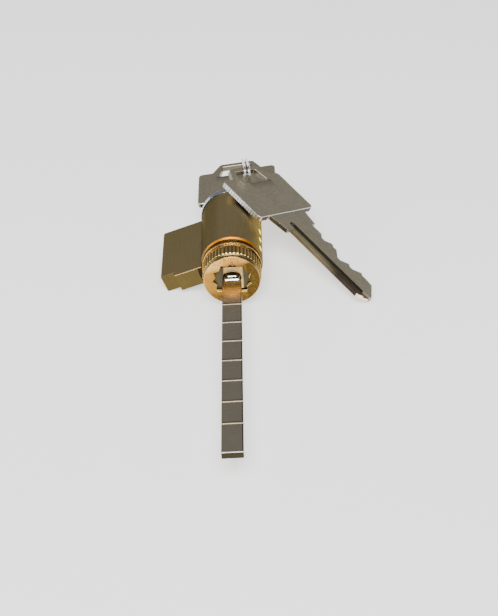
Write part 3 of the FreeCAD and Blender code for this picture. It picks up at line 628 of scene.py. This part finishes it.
# Painted shadow: an arch around the strip's root is painted near black.
arch = squares(tree, maths(tree, "DIVIDE", across, arch_wide),
               maths(tree, "DIVIDE", measured(tree, upward, arch_foot), arch_tall))
recess_shadow = product(tree, below(tree, from_axis, recess_reach), below(tree, arch, 1.0))
surface = paint(tree, surface, recess_shadow, (0.035, 0.03, 0.02, 1))
tree.links.new(surface, shader.inputs["Base Color"])
middle_slope = spread(tree, wing, low=0.0, high=1.0, to_low=0.3, to_high=0.0)
lean(tree, shader, middle_slope, way=(0.0, -0.7, 0.71))
dress(["tail_plate"], plate_steel)


# Keys: both are stamped from nickel silver strip and cut alike. The flat faces are satin grey and the
# sheared rims dull, but the bow's back rim is ribbed by the punch and its ribs carry painted highlights.
def key_metal(name, face_way, along_key, across_key, bow_start, middle):
    """Nickel silver of one key, from the directions and places of its own face, length and width."""
    bow_foot, blade_start, worn_span = -0.0002, (-0.006, -0.0064), (-0.017, -0.025)
    tarnish_span, tarnish_end, tarnish_wide = (0.0105, 0.0134), 0.0137, (-0.003, 0.006)
    strip_edge, shoulder_span = -0.0023, (-0.0063, bow_foot)
    ward_wide, ward_start, tip_start = (-0.0024, -0.0014), -0.0036, -0.0327
    bead_rate, bead_uneven = 6800.0, 6.5  # the punch's ribs and their painted highlights, in radians per metre
    warm_foot, back_rim_edge, foot_top, bevel_span = (0.0035, 0.0), -0.009, 0.001, (-0.0003, 0.001)
    left_corner, right_corner = (-0.0116, -0.0103), (-0.0079, -0.0066)

    material, tree, shader, coated = worn_metal(
        name, (0.64, 0.58, 0.43, 1), (0.49, 0.44, 0.325, 1), lines=(1200, 1200, 1200), patch=150.0,
        smooth=0.3, rough=0.44, relief=0.000005, edge_colour=(0.85, 0.82, 0.72, 1), edge_radius=0.0002,
        dirt_and_shade=(0.03, 0.026, 0.018, 1), dirt_and_shade_share=0.85)
    height = measured(tree, along_key, bow_start)
    width = measured(tree, across_key, middle)
    flatness = maths(tree, "ABSOLUTE", facing(tree, face_way))
    to_tip = tuple(-part for part in along_key)
    to_back = tuple(-part for part in across_key)
    on_bow = spread(tree, height, bow_foot, 0.0)
    on_blade = spread(tree, height, *blade_start)
    lower_half = spread(tree, height, *worn_span)

    tarnish = product(tree, spread(tree, height, *tarnish_span), below(tree, height, tarnish_end),
                      within(tree, width, *tarnish_wide))
    surface = paint(tree, coated, tarnish, (0.14, 0.11, 0.07, 1), share=0.5)
    strip = product(tree, on_blade, below(tree, width, strip_edge))
    # The blade's strip and back edge are painted darker toward the tip.
    strip_toward_tip = mix_colour(tree, lower_half, (0.8, 0.74, 0.58, 1), (0.2, 0.15, 0.1, 1))
    surface = tint(tree, surface, strip, strip_toward_tip)
    rim = spread(tree, flatness, low=0.8, high=0.5)
    surface = paint(tree, surface, rim, (0.24, 0.21, 0.155, 1))
    shoulder = product(tree, rim, within(tree, height, *shoulder_span),
                       faces(tree, to_back, none=0.3, full=0.6))
    surface = paint(tree, surface, shoulder, (0.13, 0.118, 0.1, 1))
    back_edge = product(tree, rim, on_blade, faces(tree, to_back, none=0.5, full=0.8))
    back_colour = mix_colour(tree, lower_half, (0.34, 0.3, 0.2, 1), (0.05, 0.036, 0.026, 1))
    surface = paint(tree, surface, back_edge, back_colour)
    # Painted shade: the ward groove along the blade is painted dark.
    ward = product(tree, within(tree, width, *ward_wide), below(tree, height, ward_start))
    surface = paint(tree, surface, ward, (0.1, 0.085, 0.06, 1), share=0.85)
    # Painted highlight: the rim at the blade's tip is painted a bright warm tone.
    tip = product(tree, rim, below(tree, height, tip_start), faces(tree, to_back, none=0.2, full=0.4))
    surface = paint(tree, surface, tip, (1.0, 0.86, 0.66, 1))

    # Painted highlights: bright beads along the bow's back rim, one to each rib.
    wave = maths(tree, "SINE", product(tree, height, bead_rate))
    uneven = noise(tree, placed(tree, (1900.0, 1900.0, 1900.0)), detail=2.0)
    bead_highlights = spread(tree, maths(tree, "ADD", wave, product(tree, uneven, bead_uneven)), low=2.0, high=4.6)
    ribbed_highlights = mix_colour(tree, bead_highlights, (0.3, 0.3, 0.29, 1), (0.86, 0.88, 0.88, 1))
    ribbed_highlights = paint(tree, ribbed_highlights, spread(tree, height, *warm_foot), (0.34, 0.24, 0.15, 1))
    back_rim = product(tree, rim, on_bow, faces(tree, to_back, none=0.6, full=0.9),
                       below(tree, width, back_rim_edge))
    surface = paint(tree, surface, back_rim, ribbed_highlights)
    # Painted shade on the bow's underside, with two painted copper glints at its corners.
    underside_shade = product(tree, on_bow, faces(tree, to_tip, none=0.8, full=0.95),
                        below(tree, height, foot_top))
    surface = paint(tree, surface, underside_shade, (0.05, 0.04, 0.03, 1))
    corners = maths(tree, "ADD", within(tree, width, *left_corner), within(tree, width, *right_corner))
    surface = paint(tree, surface, product(tree, underside_shade, corners), (0.9, 0.55, 0.33, 1))
    # Painted highlight: the bevel along the bow's lower edge is painted near white.
    bevel = product(tree, within(tree, flatness, low=0.5, high=0.9),
                    faces(tree, to_tip, none=0.3, full=0.5), within(tree, height, *bevel_span))
    surface = paint(tree, surface, bevel, (0.95, 0.95, 0.93, 1))
    tree.links.new(surface, shader.inputs["Base Color"])
    return material


lock_key_metal = key_metal(
    "nickel_silver_a", face_way=(-0.1011, 0.0, 0.9949), along_key=(0.0, 1.0, 0.0),
    across_key=(-0.9949, 0.0, -0.1011), bow_start=0.03845, middle=-0.0016)
dress(["key_in_lock"], lock_key_metal)
spare_key_metal = key_metal(
    "nickel_silver_b", face_way=(0.4494, -0.009, 0.8933), along_key=(-0.60326, 0.73447, 0.31087),
    across_key=(0.65889, 0.67859, -0.32462), bow_start=0.010458, middle=0.026234)
dress(["spare_key"], spare_key_metal)


# Key link: bright drawn wire bent into two long turns that pass through both bow holes and hold the
# keys loosely together. Its round wire takes the place of the node's faceted one.
link_wire = worn_metal(
    "bright_wire", (0.8, 0.79, 0.76, 1), (0.62, 0.61, 0.58, 1), lines=(2500, 2500, 2500), smooth=0.2,
    rough=0.34)[0]


def link_line(half=0.01222, end_r=0.00145, aside=0.00056, cross=0.002, gap=0.0005):
    """Two long turns side by side; the wire crosses from one to the other on the lower run."""
    bend_steps, swing_steps = 16, 8

    def end(x, way, z):
        return [(x + way * end_r * math.sin(turn), -way * end_r * math.cos(turn), z)
                for turn in (math.pi * step / bend_steps for step in range(bend_steps + 1))]

    swing = [(cross * share, -end_r, aside * (1.5 * share - 0.5 * share ** 3))
             for share in (step / swing_steps for step in range(-swing_steps, swing_steps + 1))]
    flat = [(cross + gap, -end_r, -aside)] + end(half, 1, -aside) + end(-half, -1, -aside) + swing
    flat += end(half, 1, aside) + end(-half, -1, aside) + [(-cross - gap, -end_r, aside)]
    along = Vector((-0.04134, 0.90022, -0.43346)).normalized()
    upright = Vector((-0.01839, 0.43308, 0.90117)).normalized()
    middle = Vector((0.004435, 0.047495, 0.005458))
    return [middle + along * x + upright * y + along.cross(upright) * z for x, y, z in flat]


drawn_wire("key_link", "link", link_line(), wire_r=0.00035, material=link_wire)


# Floor: a plain pale sheet under the lock, on which the block's lower edge and the spare key's tip
# rest. It isn't part of the object.
floor_level, floor_size = -0.00856, 3.0
bpy.ops.mesh.primitive_plane_add(size=floor_size, location=(0, 0, floor_level))
floor = bpy.context.object
floor.name = "floor"
paper, tree, shader = new_material("pale_sheet", 0.0)
pale = mix_colour(tree, noise(tree, placed(tree, (40.0, 40.0, 40.0))), (0.93, 0.93, 0.93, 1),
                  (0.96, 0.96, 0.96, 1))
tree.links.new(pale, shader.inputs["Base Color"])
shader.inputs["Roughness"].default_value = 0.9
shader.inputs["Specular IOR Level"].default_value = 0.0
shader.inputs["Emission Color"].default_value = (1, 1, 1, 1)
shader.inputs["Emission Strength"].default_value = 0.85
floor.data.materials.append(paper)


# Lights: one broad soft light above the tail end, a small one at the left, and a dim even room, so that
# the bare metal shows soft highlights.
def soft_light(name, at, size, power):
    """A square lamp that looks at the lock."""
    data = bpy.data.lights.new(name, "AREA")
    data.shape = "SQUARE"
    data.size = size
    data.energy = power
    lamp = bpy.data.objects.new(name, data)
    lamp.location = at
    lamp.rotation_euler = (-Vector(at)).to_track_quat("-Z", "Y").to_euler()
    bpy.context.scene.collection.objects.link(lamp)


soft_light("above_front", at=(0.0, -0.45, 0.62), size=0.5, power=8.0)
soft_light("left", at=(-0.6, -0.15, 0.25), size=0.3, power=1.5)
world = bpy.data.worlds.new("room")
world.use_nodes = True
world.node_tree.nodes["Background"].inputs["Color"].default_value = (0.3, 0.3, 0.3, 1)
world.node_tree.nodes["Background"].inputs["Strength"].default_value = 1.0
bpy.context.scene.world = world


# Camera: from above and behind the tail, at the photo's angle. Its place and lens come from fitting
# the lock's own sizes to the photo.
view = bpy.data.cameras.new("camera")
view.lens = 74.106
view.sensor_width = 36.0
view.clip_start = 0.01
camera = bpy.data.objects.new("camera", view)
right = Vector((0.9983256, -0.01285336, -0.05639856))
up = Vector((0.05278125, 0.60134017, 0.79724785))
back = Vector((0.02366741, -0.79888972, 0.6010117))
eye = Vector((0.01189, -0.26913, 0.193162))
camera.matrix_world = Matrix.Translation(eye) @ Matrix((right, up, back)).transposed().to_4x4()
bpy.context.scene.collection.objects.link(camera)
bpy.context.scene.camera = camera
